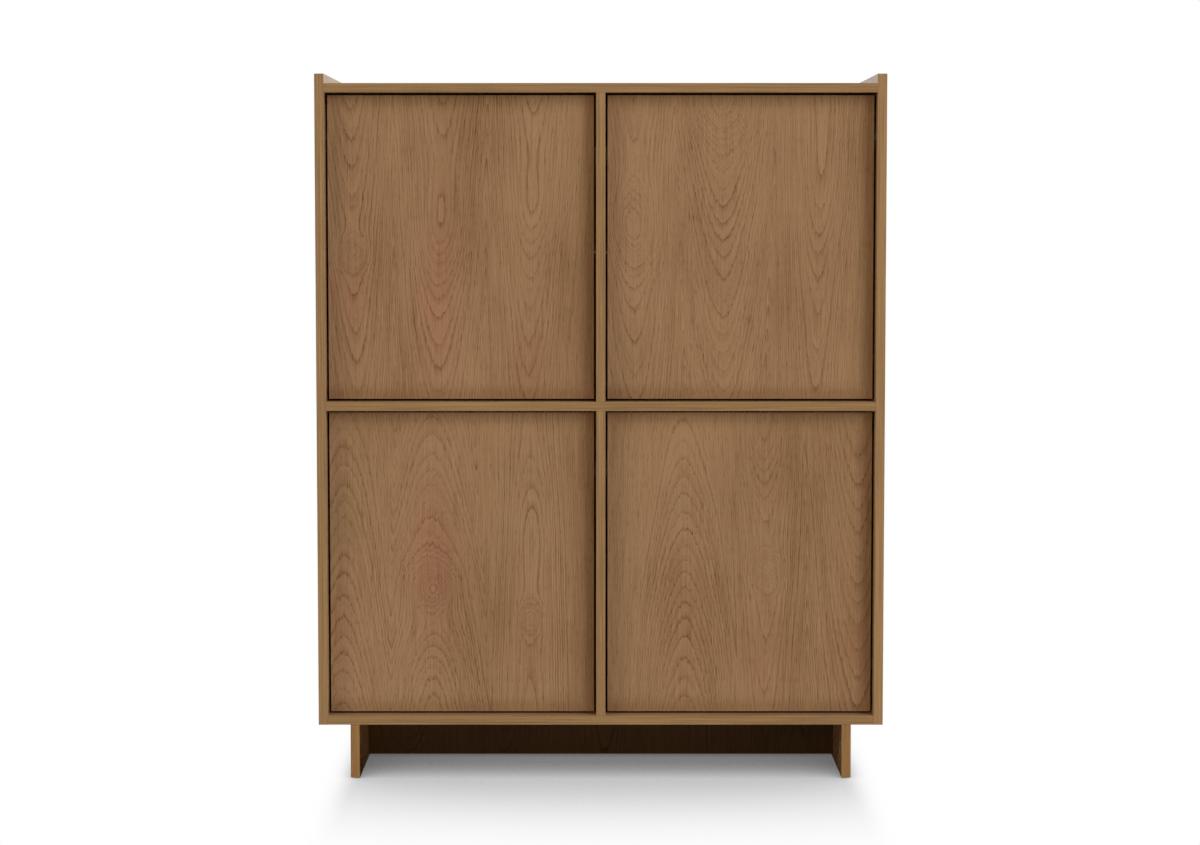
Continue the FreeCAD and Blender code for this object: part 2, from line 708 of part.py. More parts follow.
def make_arms(name, floor, opening):
    """Hinge arms: a strap with side flanges over its plate, bent round the door's edge to a knuckle in the
    cup."""
    low = hinge_heights(opening)[0]
    body = new_body(f"{name}_left_hinge_arms", (
        f"-{INNER_X}", f"{PIVOT_Y} - knuckle_radius", f"{floor} + {low} - arm_width / 2"))
    neck = f"({PIVOT_X} + {NECK_REACH})"
    cross = f"(knuckle_radius + {CROSS_REACH})"
    end = f"({cross} + arm_length)"
    near = "(knuckle_radius - arm_strap / 2)"
    far = "(knuckle_radius + arm_strap / 2)"
    shape = sketch_on(body, "XY_Plane")
    outline(shape, [
        (PIVOT_X, near),
        (f"({neck} + arm_strap)", near),
        (f"({neck} + arm_strap)", f"({cross} + arm_strap)"),
        ("(plate_height + arm_strap)", f"({cross} + arm_strap)"),
        ("(plate_height + arm_strap)", end),
        ("plate_height", end),
        ("plate_height", cross),
        (neck, cross),
        (neck, far),
        (PIVOT_X, far),
    ])
    pad(body, shape, "arm_width")
    doc.recompute()
    bends = {"arm_bend": (3, 7, 8), "(arm_bend + arm_strap)": (1, 2, 6)}
    for radius, corners in bends.items():
        base = body.Tip
        feature = body.newObject("PartDesign::Fillet", "Bend")
        feature.Base = (base, upright_edges(base, [shape.getPoint(corner, 1) for corner in corners]))
        bind(feature, "Radius", radius)
        doc.recompute()
    reach = "(arm_bend + arm_strap)"
    foot = "(plate_board + flange_clearance)"
    for lift in ("0", "arm_width - arm_flange"):
        flange = sketch_on(body, "XY_Plane", lift, (foot, f"{cross} + {reach}"))
        pad(body, rectangle(flange, f"(plate_height - {foot})", f"(arm_length - {reach})"), "arm_flange")
    pivot = [(PIVOT_X, "knuckle_radius")]
    pad(body, circles(sketch_on(body, "XY_Plane"), pivot, "2 * knuckle_radius"), "arm_width")
    drill(body, "XY_Plane", pivot, HINGE_PIN_HOLE, "arm_width", "0", True)
    seat = f"({cross} + arm_screw_reach)"
    drill(body, "YZ_Plane", [(seat, "arm_width / 2")], SCREW_HOLE, "arm_strap", "plate_height + arm_strap")
    repeat_up(body, hinge_spread(opening))
    mirrored(body, f"{name}_right_hinge_arms")


def upright_edges(feature, spots):
    """Names the upright edges of a feature that stand at the given spots."""
    names = []
    for number, edge in enumerate(feature.Shape.Edges, start=1):
        ends = [vertex.Point for vertex in edge.Vertexes]
        for spot in spots:
            if all(Vector(end.x, end.y, 0).isEqual(Vector(spot.x, spot.y, 0), SAME_PLACE) for end in ends):
                names.append(f"Edge{number}")
    return names


def make_plates(name, floor, opening):
    """Hinge plates: a round-ended cross plate screwed to the side, with a bevelled bar that carries the
    arm."""
    low = hinge_heights(opening)[0]
    body = new_body(f"{name}_left_hinge_plates", (
        f"-{INNER_X}", PLATE_START, f"{floor} + {low} - plate_span / 2"))
    ends = [("arm_length / 2", height) for height in ("plate_width / 2", "plate_span - plate_width / 2")]
    wings = sketch_on(body, "YZ_Plane", corner=("arm_length / 2 - plate_width / 2", "plate_width / 2"))
    pad(body, rectangle(wings, "plate_width", "(plate_span - plate_width)"), "plate_board")
    pad(body, circles(sketch_on(body, "YZ_Plane"), ends, "plate_width"), "plate_board")
    bar = sketch_on(body, "XZ_Plane", "-arm_length", ("0", "plate_span / 2 - bar_width / 2"))
    pad(body, outline(bar, [
        ("0", "0"),
        ("plate_height - bar_bevel", "0"),
        ("plate_height", "bar_bevel"),
        ("plate_height", "bar_width - bar_bevel"),
        ("plate_height - bar_bevel", "bar_width"),
        ("0", "bar_width"),
    ]), "arm_length")
    spots = [("arm_length / 2", f"plate_span / 2 + {turn} * plate_pitch / 2") for turn in (-1, 1)]
    drill(body, "YZ_Plane", spots, SCREW_HOLE, "plate_board", "plate_board")
    spots = [("arm_screw_reach", "plate_span / 2")]
    drill(body, "YZ_Plane", spots, SCREW_HOLE, "plate_height", "plate_height")
    repeat_up(body, hinge_spread(opening))
    mirrored(body, f"{name}_right_hinge_plates")


def make_hinge_screws():
    """Screws that hold the hinge plates to the sides, and those that clamp the arms to the plates."""
    fixing = []
    clamping = []
    for _, floor, opening in ROWS:
        for across, up in plate_screws(opening):
            spot = (f"-{INNER_X} + plate_board", f"{FRONT} + {across}", f"{floor} + {up}")
            fixing.append(screw(spot, "screw_length", TOWARDS["x"]))
        for height in hinge_heights(opening):
            seat = f"-{INNER_X} + plate_height + arm_strap"
            spot = (seat, f"{PLATE_START} + arm_screw_reach", f"{floor} + {height}")
            clamping.append(screw(spot, "(plate_height + arm_strap - screw_play)", TOWARDS["x"]))
    for label, left in (("hinge_plate_screws", fixing), ("hinge_arm_screws", clamping)):
        pairs = group(left)
        group([pairs, mirrored(pairs)], label)


def make_latch(name, floor, opening):
    """A push latch on the divider: a flanged housing and the plunger that slides in it."""
    level = f"({floor} + {opening} - latch_drop)"
    housing = new_body(f"{name}_left_latch_housing", ("-board / 2", LATCH_FRONT, level))
    flange = sketch_on(housing, "YZ_Plane", "-latch_flange", ("0", "-latch_span / 2"))
    pad(housing, clipped(flange, "latch_length", "latch_span", "latch_clip"), "latch_flange")
    web = sketch_on(housing, "XZ_Plane", "-latch_length", ("-latch_offset", "-barrel_diameter / 2"))
    pad(housing, rectangle(web, "latch_offset", "barrel_diameter"), "latch_length")
    axis = [("-latch_offset", "0")]
    barrel = sketch_on(housing, "XZ_Plane", "-latch_length")
    pad(housing, circles(barrel, axis, "barrel_diameter"), "latch_length")
    drill(housing, "XZ_Plane", axis, "(plunger_diameter + 2 * plunger_play)", BORE_DEPTH)
    spots = [("latch_length / 2", f"{turn} * latch_pitch / 2") for turn in (-1, 1)]
    drill(housing, "YZ_Plane", spots, SCREW_HOLE, "latch_flange", "-latch_flange", True)
    mirrored(housing, f"{name}_right_latch_housing")
    body = new_body(f"{name}_left_latch_plunger", (f"-{LATCH_X}", TIP_FRONT, level))
    stem = "plunger_diameter / 2"
    tip = "tip_diameter / 2"
    shape = sketch_on(body, "XY_Plane")
    outline(shape, [
        ("0", "0"),
        (f"{tip} - tip_bevel", "0"),
        (tip, "tip_bevel"),
        (tip, "tip_length"),
        (stem, "tip_length"),
        (stem, "plunger_length"),
        ("0", "plunger_length"),
    ])
    revolve(body, shape)
    mirrored(body, f"{name}_right_latch_plunger")


def make_latch_screws():
    """Screws that hold the latches to the dividers."""
    left = []
    for _, floor, opening in ROWS:
        for across, up in latch_screws(opening):
            spot = ("-board / 2 - latch_flange", f"{FRONT} + {across}", f"{floor} + {up}")
            left.append(screw(spot, "screw_length", -TOWARDS["x"]))
    pairs = group(left)
    group([pairs, mirrored(pairs)], "latch_screws")


def check_model():
    """Stops if any object failed, any cut took nothing away or any sub-part has no sound solid."""
    for item in doc.Objects:
        if "Invalid" in item.State or "Error" in item.State:
            raise RuntimeError(f"{item.Label} failed: {item.State}")
    for feature in cuts:
        if feature.Shape.Volume >= feature.BaseFeature.Shape.Volume:
            raise RuntimeError(f"{feature.Label} of {feature.getParentGeoFeatureGroup().Label} cuts nothing")
    for label, item in nodes.items():
        shape = item.Shape
        if shape.isNull() or not shape.isValid() or not shape.Solids:
            raise RuntimeError(f"{label} has no sound solid")


def main():
    """Builds the highboard and writes one file for each sub-part."""
    make_sheet()
    make_sides()
    make_level("top_panel", TOP_UNDER, ["under"], {"under": UPPER_DOWELS})
    make_level("middle_shelf", MIDDLE_UNDER, ["under", "over"], {"under": LOWER_DOWELS, "over": UPPER_DOWELS})
    make_level("bottom_panel", BASE_TOP, ["over"], {"over": LOWER_DOWELS}, feet=True)
    for (name, floor, opening), rows in zip(ROWS, (UPPER_DOWELS, LOWER_DOWELS)):
        make_divider(name, floor, opening, rows)
        make_back(name, floor, opening)
    make_base()
    make_dowels()
    make_shelves()
    for name, floor, opening in ROWS:
        make_door(name, floor, opening)
        make_cups(name, floor, opening)
        make_arms(name, floor, opening)
        make_plates(name, floor, opening)
        make_latch(name, floor, opening)
    make_hinge_screws()
    make_latch_screws()
    doc.recompute()
    check_model()
    os.makedirs("parts", exist_ok=True)
    for label, item in nodes.items():
        item.Shape.exportStep(f"parts/{label}.step")
    print(f"{len(nodes)} sub-parts, {sum(len(item.Shape.Solids) for item in nodes.values())} solids")


main()
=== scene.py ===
import math
from dataclasses import dataclass

import bpy
import numpy as np
from bpy.props import FloatProperty, FloatVectorProperty, PointerProperty
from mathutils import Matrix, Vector


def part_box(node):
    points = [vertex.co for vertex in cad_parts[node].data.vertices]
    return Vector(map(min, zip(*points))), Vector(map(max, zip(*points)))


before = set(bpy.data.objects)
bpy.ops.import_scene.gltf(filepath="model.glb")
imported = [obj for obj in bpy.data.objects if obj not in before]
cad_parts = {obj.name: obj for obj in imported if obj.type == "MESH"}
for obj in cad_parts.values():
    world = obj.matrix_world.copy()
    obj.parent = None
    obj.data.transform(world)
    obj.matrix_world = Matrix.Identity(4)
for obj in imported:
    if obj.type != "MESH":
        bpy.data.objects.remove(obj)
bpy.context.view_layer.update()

bl_info = {
    "name": "Highboard finishes",
    "version": (1, 0, 0),
    "blender": (4, 5, 0),
    "location": "3D View > Sidebar > Highboard",
    "description": "Veneers, fittings and a white studio for a four-door highboard",
    "category": "Object",
}

ROWS = ("upper", "lower")
HANDS = ("left", "right")
COMPARTMENTS = tuple(f"{row}_{hand}" for row in ROWS for hand in HANDS)
AXES = "xyz"
WHITE = (1.0, 1.0, 1.0)


@dataclass(frozen=True)
class Leaf:
    """One leaf of flat-cut veneer, in metres from the lower left corner of the face it lies on.

    across is where the middle of the leaf lies. low and high say how far the cut passes from the log's
    heart at the foot and at the head of the face. Each eye is the height, the depth, the half length and
    the half width of a dip towards the heart, which draws ovals or a knot. blush is the height, the half
    length and the strength of a redder stretch in the leaf's middle. lean is how far the middle moves to
    the right from the foot to the head, and wide how much wider than usual the arches are.
    """
    across: float
    low: float
    high: float
    eyes: tuple = ()
    blush: tuple = (0.0, 1.0, 0.0)
    lean: float = 0.0
    wide: float = 1.0


@dataclass(frozen=True)
class Board:
    """How a board lies: the axis through its thickness, the axis of its grain, its leaves, and how much
    darker than the others its colour is set. Below 0 it is lighter: on the right side this is a painted
    highlight from the main light on the right."""
    through: str
    grain: str
    leaves: tuple
    darker: float = 0.0


EYES_PER_LEAF = 2
NO_EYE = (0.0, 0.0, 1.0, 1.0)
EYE_PARTS = ("Eye", "Dip", "Length", "Width")

DOOR_LEAVES = {
    "upper_left": (
        Leaf(0.048, 0.086, 0.040, eyes=((0.282, 0.024, 0.026, 0.026),), blush=(0.200, 0.090, 0.5),
             lean=-0.010),
        Leaf(0.218, 0.086, 0.030, eyes=((0.345, 0.016, 0.090, 0.050),), blush=(0.210, 0.190, 0.8),
             lean=0.012, wide=1.1),
        Leaf(0.394, 0.070, 0.024, eyes=((0.369, 0.010, 0.080, 0.040),), blush=(0.070, 0.070, 0.6),
             lean=0.010),
    ),
    "upper_right": (
        Leaf(0.052, 0.088, 0.046, eyes=((0.342, 0.030, 0.070, 0.050),), blush=(0.300, 0.120, 0.2),
             wide=1.15),
        Leaf(0.224, 0.112, 0.030, eyes=((0.562, 0.026, 0.060, 0.050),), blush=(0.300, 0.150, 0.2),
             lean=-0.008, wide=1.1),
        Leaf(0.410, 0.062, 0.026, eyes=((0.420, 0.008, 0.140, 0.060),), lean=0.012, wide=0.9),
    ),
    "lower_left": (
        Leaf(0.026, 0.012, 0.090, blush=(0.150, 0.120, 0.4), wide=1.2),
        Leaf(0.200, 0.030, 0.120, eyes=((0.252, 0.040, 0.046, 0.044), (0.060, 0.012, 0.120, 0.060)),
             blush=(0.300, 0.160, 0.9), wide=1.35),
        Leaf(0.390, 0.040, 0.060, eyes=((0.357, 0.008, 0.110, 0.040), (0.169, 0.020, 0.034, 0.022)),
             blush=(0.160, 0.090, 0.3)),
    ),
    "lower_right": (
        Leaf(0.150, 0.010, 0.092, blush=(0.150, 0.150, 0.3), wide=1.15),
        Leaf(0.306, 0.068, 0.036, eyes=((0.570, 0.016, 0.110, 0.060), (0.282, 0.032, 0.028, 0.028)),
             blush=(0.090, 0.090, 0.4)),
        Leaf(0.488, 0.072, 0.014, blush=(0.120, 0.120, 0.4), wide=1.15),
    ),
}
SIDE_LEAVES = (
    Leaf(0.105, 0.012, 0.082, eyes=((0.900, 0.030, 0.160, 0.060),), blush=(0.500, 0.300, 0.4)),
    Leaf(0.300, 0.090, 0.016, eyes=((0.420, 0.026, 0.130, 0.060),), blush=(0.700, 0.300, 0.5)),
)
LEVEL_LEAVES = (
    Leaf(0.110, 0.014, 0.070, eyes=((0.700, 0.024, 0.140, 0.060),), blush=(0.300, 0.300, 0.4)),
    Leaf(0.295, 0.076, 0.020, eyes=((0.350, 0.026, 0.120, 0.060),), blush=(0.800, 0.200, 0.4)),
)
SHELF_LEAVES = (
    Leaf(0.090, 0.050, 0.016, eyes=((0.160, 0.016, 0.080, 0.050),), blush=(0.300, 0.150, 0.4)),
    Leaf(0.240, 0.018, 0.056, blush=(0.200, 0.150, 0.3)),
)
BACK_LEAVES = (
    Leaf(0.120, 0.014, 0.070, blush=(0.200, 0.200, 0.3)),
    Leaf(0.330, 0.062, 0.020, eyes=((0.380, 0.024, 0.110, 0.060),), blush=(0.400, 0.150, 0.4)),
    Leaf(0.540, 0.016, 0.066, eyes=((0.220, 0.010, 0.090, 0.060),)),
    Leaf(0.750, 0.070, 0.024, eyes=((0.430, 0.026, 0.120, 0.060),), blush=(0.300, 0.200, 0.4)),
    Leaf(0.960, 0.020, 0.058),
)
# The rail's leaves stand in a row, each cut a little further from the heart at its head
RAIL_LEAF_COUNT = 5
RAIL_LEAF_FIRST = 0.085
RAIL_LEAF_PITCH = 0.195
RAIL_FOOT_CUT = 0.030
RAIL_HEAD_CUT = 0.012
RAIL_HEAD_STEP = 0.006
RAIL_LEAVES = tuple(
    Leaf(RAIL_LEAF_FIRST + RAIL_LEAF_PITCH * place, RAIL_FOOT_CUT, RAIL_HEAD_CUT + RAIL_HEAD_STEP * place)
    for place in range(RAIL_LEAF_COUNT)
)

BOARDS = {
    "left_side": Board("x", "z", SIDE_LEAVES),
    # Painted highlight: the right side is set lighter than the left, standing in for the main light from the
    # right
    "right_side": Board("x", "z", SIDE_LEAVES, -0.12),
    "upper_divider": Board("x", "z", SIDE_LEAVES),
    "lower_divider": Board("x", "z", SIDE_LEAVES),
    "left_foot": Board("x", "z", SIDE_LEAVES),
    "right_foot": Board("x", "z", SIDE_LEAVES),
    "top_panel": Board("z", "x", LEVEL_LEAVES),
    "middle_shelf": Board("z", "x", LEVEL_LEAVES),
    "bottom_panel": Board("z", "x", LEVEL_LEAVES),
    "foot_rail": Board("y", "z", RAIL_LEAVES),
    "upper_back_panel": Board("y", "z", BACK_LEAVES),
    "lower_back_panel": Board("y", "z", BACK_LEAVES),
    **{f"{place}_shelf": Board("z", "x", SHELF_LEAVES) for place in COMPARTMENTS},
    "upper_left_door": Board("y", "z", DOOR_LEAVES["upper_left"], 0.02),
    "upper_right_door": Board("y", "z", DOOR_LEAVES["upper_right"], -0.01),
    "lower_left_door": Board("y", "z", DOOR_LEAVES["lower_left"]),
    "lower_right_door": Board("y", "z", DOOR_LEAVES["lower_right"]),
}
FEET = ("left_foot", "right_foot")
BASE_BOARDS = (*FEET, "foot_rail")
DOORS = tuple(f"{place}_door" for place in COMPARTMENTS)

# Shape of a leaf's figure: half width of its heart, roundness of the arches' tips, the offset at which an
# arch has risen by as much, how pointed arches are, and how softly one leaf's rings run into the next
HEART_WIDTH = 0.050
ARCH_TIP = 0.002
ARCH_SPREAD = 0.120
ARCH_POWER = 1.8
LEAF_SEAM = 0.016

# How many finer layers most of the noise has, and the noise that moves the figure along the grain
NOISE_DETAIL = 2.0
RISE_DETAIL = 1.0

# Wander of the grain: how often it changes across and along a metre, and how far it moves the figure
BROAD_WANDER = (5.0, 1.7, 0.016)
FINE_WANDER = (24.0, 6.0, 0.0044)
RIPPLE = (22.0, 60.0, 0.0022)
RISE = (7.0, 3.0, 0.050)
FIBRE_JITTER = (330.0, 7.0, 0.016)

# Streaks: how often they change across and along a metre, and how much they darken or lighten
PORES = (430.0, 55.0, 1.0)
FIBRES = (430.0, 9.0, 0.70)
STREAKS = (330.0, 2.4, 0.40)
FIGURE = (6.0, 2.6, 1.90)
MOTTLE = (9.0, 2.6, 0.40)
CLOUDS = (3.2, 1.4, 0.34)
BAND_STREAKS = (330.0, 2.4, 0.80)
BAND_FIBRES = (800.0, 9.0, 0.70)

# Growth rings: how unevenly they follow each other (changes in a metre, reach in rings), how fast a ring
# fades, the weakest ring's strength, how rings differ at a leaf's heart, and the dark core of the log
RING_WANDER = (45.0, 1.2)
RING_FADE = 2.2
RING_LEAST = 0.35
HEART_SHARPNESS = 5.0
HEART_STRENGTH = 0.1
SUB_RINGS = 3.0
SUB_RING_FADE = 5.0
SUB_RING_STRENGTH = 0.2
CORE_WIDTH = 0.007
CORE_SHADE = 0.30

# Pores show where their noise passes from start to full, and fade inside a ring
PORE_START = 0.06
PORE_FULL = 0.18
PORE_FADE = 0.6

# Surface of the veneer: its mean darkness, what pores and tone do to the lacquer's roughness, the depth of
# pores and rings beside the fibres', and the normal's share along an axis that tells a face from an edge
MEAN_DARKNESS = 0.13
PORE_ROUGHNESS = 0.12
TONE_ROUGHNESS = 0.2
PORE_DEPTH = 0.5
RING_DEPTH = 0.3
FACE_START = 0.6
FACE_FULL = 0.8

# Relief of each finish: its strength and its height in metres
GRAIN_RELIEF = (0.16, 0.0004)
METAL_RELIEF = (0.10, 0.0002)
PLASTIC_RELIEF = (0.22, 0.0002)
BEECH_RELIEF = (0.15, 0.0002)

# Metal finishes: roughness, the axis in which it was drawn or pressed, and its streaks in a metre
NICKEL_FINISH = (0.30, "y", 900.0)
STEEL_FINISH = (0.26, "z", 1200.0)
STRIKE_FINISH = (0.34, "z", 700.0)
# How much rarer streaks are along that axis, what they do, and the blotches of the plating
DRAWN_SHARE = 0.08
STREAK_DETAIL = 3.0
STREAK_SHADE = 0.16
STREAK_ROUGHNESS = 0.16
BLOTCHES_PER_METRE = 90.0
BLOTCH_SHADE = 0.22
BLOTCH_ROUGHNESS = 0.14

# Plastic finishes: roughness of each piece, the moulded texture and the flow marks
GLIDE_ROUGHNESS = 0.42
HOUSING_ROUGHNESS = 0.46
PLUNGER_ROUGHNESS = 0.38
TEXTURE_PER_METRE = 2600.0
TEXTURE_SHADE = 0.10
TEXTURE_ROUGHNESS = 0.12
FLOW_PER_METRE = 60.0
FLOW_SHADE = 0.16
FLOW_ROUGHNESS = 0.10

# Beech: roughness, the flecks with their core and rim in shares of a cell, and the slow tones
BEECH_ROUGHNESS = 0.60
FLECKS_PER_METRE = 700.0
FLECK_CORE = 0.1
FLECK_RIM = 0.3
FLECK_SHADE = 0.25
BEECH_TONES_PER_METRE = 80.0
BEECH_TONE_DEPTH = 0.3

# Floor: half its side, and the shadow's depth, its reach in front and aside, and the height it looks up
FLOOR_HALF = 30.0
SHADOW_DEPTH = 0.92
SHADOW_REACH = 0.295
SHADOW_SIDE_REACH = 0.034
SHADOW_HEIGHT = 3.0
SHADOW_SAMPLES = 8

# Azimuth from the front towards the right, elevation and spread of each lamp, in degrees
KEY_PLACE = (56.8, 32.7, 38.0)
BOUNCE_PLACE = (57.3, -38.7, 18.6)
GRAZE_PLACE = (-69.0, 5.0, 18.0)
FILL_PLACE = (-57.0, 41.0, 12.0)
BACK_PLACE = (128.0, 18.0, 60.0)
REAR_PLACE = (180.0, 20.0, 40.0)
FRONT_PLACE = (0.0, 10.0, 40.0)
LOW_PLACE = (0.0, -35.0, 50.0)


class VeneerSettings(bpy.types.PropertyGroup):
    """Colours and scale of the veneer, and its lacquer."""
    timber: FloatVectorProperty(
        name="Timber", description="Colour of the face veneer between its growth rings",
        subtype="COLOR", size=3, min=0, max=1, default=(0.333, 0.213, 0.116))
    blush: FloatVectorProperty(
        name="Blush", description="Colour of the redder stretches at the heart of a leaf",
        subtype="COLOR", size=3, min=0, max=1, default=(0.342, 0.179, 0.108))
    line: FloatVectorProperty(
        name="Line", description="Colour of the dark start of each growth ring and of the pores",
        subtype="COLOR", size=3, min=0, max=1, default=(0.120, 0.046, 0.016))
    banding: FloatVectorProperty(
        name="Banding", description="Colour of the edge banding",
        subtype="COLOR", size=3, min=0, max=1, default=(0.281, 0.177, 0.085))
    ring: FloatProperty(
        name="Ring width", description="Width of one growth ring where the cut crosses it squarely",
        unit="LENGTH", min=0.001, default=0.0047)
    ring_contrast: FloatProperty(
        name="Ring contrast", description="How much darker the start of each ring is",
        subtype="FACTOR", min=0, max=1, default=0.49)
    pore_contrast: FloatProperty(
        name="Pore contrast", description="How much darker the pores are",
        subtype="FACTOR", min=0, max=1, default=0.28)
    gloss: FloatProperty(
        name="Gloss", description="How strongly the lacquer mirrors straight on",
        subtype="FACTOR", min=0, max=1, default=0.12)
    gleam: FloatVectorProperty(
        name="Gleam", description="Colour of what the amber lacquer mirrors straight on",
        subtype="COLOR", size=3, min=0, max=1, default=(1.0, 0.50, 0.15))
    roughness: FloatProperty(
        name="Roughness", description="Roughness of the satin lacquer",
        subtype="FACTOR", min=0, max=1, default=0.24)


class FittingSettings(bpy.types.PropertyGroup):
    """Colours of the metal, plastic and beech fittings."""
    nickel: FloatVectorProperty(
        name="Nickel", description="Colour of the plated hinge parts and strike plates",
        subtype="COLOR", size=3, min=0, max=1, default=(0.60, 0.58, 0.55))
    steel: FloatVectorProperty(
        name="Steel", description="Colour of pins and screws",
        subtype="COLOR", size=3, min=0, max=1, default=(0.52, 0.52, 0.53))
    latch: FloatVectorProperty(
        name="Latch", description="Colour of the latch housings",
        subtype="COLOR", size=3, min=0, max=1, default=(0.30, 0.30, 0.31))
    plunger: FloatVectorProperty(
        name="Plunger", description="Colour of the latch plungers",
        subtype="COLOR", size=3, min=0, max=1, default=(0.62, 0.61, 0.59))
    glide: FloatVectorProperty(
        name="Glide", description="Colour of the floor glides",
        subtype="COLOR", size=3, min=0, max=1, default=(0.030, 0.026, 0.024))
    beech: FloatVectorProperty(
        name="Beech", description="Colour of the dowels",
        subtype="COLOR", size=3, min=0, max=1, default=(0.52, 0.36, 0.21))


class StageSettings(bpy.types.PropertyGroup):
    """Camera, lamps and surroundings."""
    eye_height: FloatProperty(
        name="Eye height", description="Height of the camera above the floor",
        unit="LENGTH", default=1.10)
    eye_distance: FloatProperty(
        name="Distance", description="Distance of the camera from the middle of the cabinet",
        unit="LENGTH", default=4.0)
    eye_offset: FloatProperty(
        name="Offset", description="How far the camera stands to the right of the middle",
        unit="LENGTH", default=-0.0014)
    tilt: FloatProperty(
        name="Tilt", description="How far the camera looks down",
        subtype="ANGLE", default=math.radians(2.904))
    lens: FloatProperty(
        name="Lens", description="Focal length on a 36 mm sensor",
        unit="CAMERA", default=59.149)
    rise: FloatProperty(
        name="Shift", description="Upright shift of the lens", default=-0.09)
    dome: FloatProperty(
        name="Dome", description="Strength of the even light from all round", min=0, default=0.15)
    returned: FloatVectorProperty(
        name="Returned light", description="Colour of the even light and of the light on the feet",
        subtype="COLOR", size=3, min=0, max=1, default=(1.0, 0.82, 0.60))
    key: FloatProperty(
        name="Key", description="Strength of the main light from the upper right", min=0, default=2.21)
    bounce: FloatProperty(
        name="Bounce", description="Strength of the light that comes up from the floor on the right",
        min=0, default=1.425)
    graze: FloatProperty(
        name="Graze", description="Strength of the level light from the left", min=0, default=1.12)
    fill: FloatProperty(
        name="Fill", description="Strength of the light from the upper left", min=0, default=0.706)
    side_colour: FloatVectorProperty(
        name="Side light colour", description="Colour of the two lights from the left",
        subtype="COLOR", size=3, min=0, max=1, default=(1.0, 0.93, 0.82))
    front: FloatProperty(
        name="Front", description="Strength of the light from the front, which reaches into the openings",
        min=0, default=0.335)
    front_colour: FloatVectorProperty(
        name="Front colour", description="Colour of the light from the front",
        subtype="COLOR", size=3, min=0, max=1, default=(1.0, 0.45, 0.08))
    low: FloatProperty(
        name="Low light", description="Strength of the light from below that only the feet get",
        min=0, default=3.9)
    back: FloatProperty(
        name="Back light", description="Strength of the soft light from behind on the right",
        min=0, default=2.4)
    rear: FloatProperty(
        name="Rear light", description="Strength of the soft light from straight behind",
        min=0, default=0.9)


class Field:
    """A number that varies over a surface: one output of a node, with ordinary arithmetic."""

    def __init__(self, tree, socket):
        self.tree = tree
        self.socket = socket

    def math(self, operation, *others):
        """Joins this field with others by one of the math node's operations."""
        node = self.tree.nodes.new("ShaderNodeMath")
        node.operation = operation
        for socket, value in zip(node.inputs, (self, *others)):
            feed(self.tree, socket, value)
        return Field(self.tree, node.outputs[0])

    def __add__(self, other):
        return self.math("ADD", other)

    def __radd__(self, other):
        return self.math("ADD", other)

    def __sub__(self, other):
        return self.math("SUBTRACT", other)

    def __rsub__(self, other):
        return self.math("MULTIPLY", -1).math("ADD", other)

    def __mul__(self, other):
        return self.math("MULTIPLY", other)

    def __truediv__(self, other):
        return self.math("DIVIDE", other)

    def __pow__(self, other):
        return self.math("POWER", other)

    def step(self, low, high):
        """Rises smoothly from 0 at low to 1 at high."""
        node = self.tree.nodes.new("ShaderNodeMapRange")
        node.interpolation_type = "SMOOTHSTEP"
        feed(self.tree, node.inputs["Value"], self)
        feed(self.tree, node.inputs["From Min"], low)
        feed(self.tree, node.inputs["From Max"], high)
        return Field(self.tree, node.outputs["Result"])

    def hill(self, width):
        """A bell round 0: e to the power of minus the square of the value over the width."""
        share = self / width
        return (share * share * -1).math("EXPONENT")


def feed(tree, socket, value):
    """Links a field or an output to a socket, or sets a plain value on it."""
    if isinstance(value, Field):
        value = value.socket
    if isinstance(value, bpy.types.NodeSocket):
        tree.links.new(value, socket)
    else:
        socket.default_value = value


def put(tree, kind, settings=None, **properties):
    """Adds a node, sets its properties and feeds its named inputs."""
    node = tree.nodes.new(kind)
    for name, value in properties.items():
        setattr(node, name, value)
    for name, value in (settings or {}).items():
        feed(tree, node.inputs[name], value)
    return node


def total(fields):
    """Adds up a list of fields."""
    first, *others = fields
    return sum(others, first)


def point(tree, *parts):
    """Joins up to three fields into a vector."""
    node = tree.nodes.new("ShaderNodeCombineXYZ")
    for socket, value in zip(node.inputs, parts):
        feed(tree, socket, value)
    return node.outputs[0]


def noise(tree, vector, detail=NOISE_DETAIL, dimensions="2D"):
    """Smooth noise of a scaled position, from -0.5 to 0.5."""
    settings = {"Vector": vector, "Scale": 1.0, "Detail": detail}
    node = put(tree, "ShaderNodeTexNoise", settings, noise_dimensions=dimensions)
    return Field(tree, node.outputs["Fac"]) - 0.5


def grain_noise(tree, across, along, seed, pattern, detail=NOISE_DETAIL):
    """Noise that is stretched along the grain, times the pattern's depth."""
    often_across, often_along, depth = pattern
    spot = point(tree, across * often_across + seed, along * often_along)
    return noise(tree, spot, detail) * depth


def scaled(tree, place, often, drawn=""):
    """A position in space counted in marks, so many to the metre, with fewer along the drawn axis."""
    rates = {axis: often * DRAWN_SHARE if axis == drawn else often for axis in AXES}
    return point(tree, *(place[axis] * rates[axis] for axis in AXES))


def solid_noise(tree, place, often, drawn="", detail=NOISE_DETAIL):
    """Noise in space, with so many changes to the metre."""
    return noise(tree, scaled(tree, place, often, drawn), detail, "3D")


def new_group(name, inputs, outputs):
    """Starts a node group with number inputs and outputs, and returns it with its inputs as fields."""
    tree = bpy.data.node_groups.new(name, "ShaderNodeTree")
    for title in inputs:
        tree.interface.new_socket(title, in_out="INPUT", socket_type="NodeSocketFloat")
    for title in outputs:
        tree.interface.new_socket(title, in_out="OUTPUT", socket_type="NodeSocketFloat")
    source = tree.nodes.new("NodeGroupInput")
    fields = {title: Field(tree, source.outputs[title]) for title in inputs}
    return tree, fields


def end_group(tree, results):
    """Feeds the outputs of a node group."""
    sink = tree.nodes.new("NodeGroupOutput")
    for title, value in results.items():
        feed(tree, sink.inputs[title], value)
    return tree


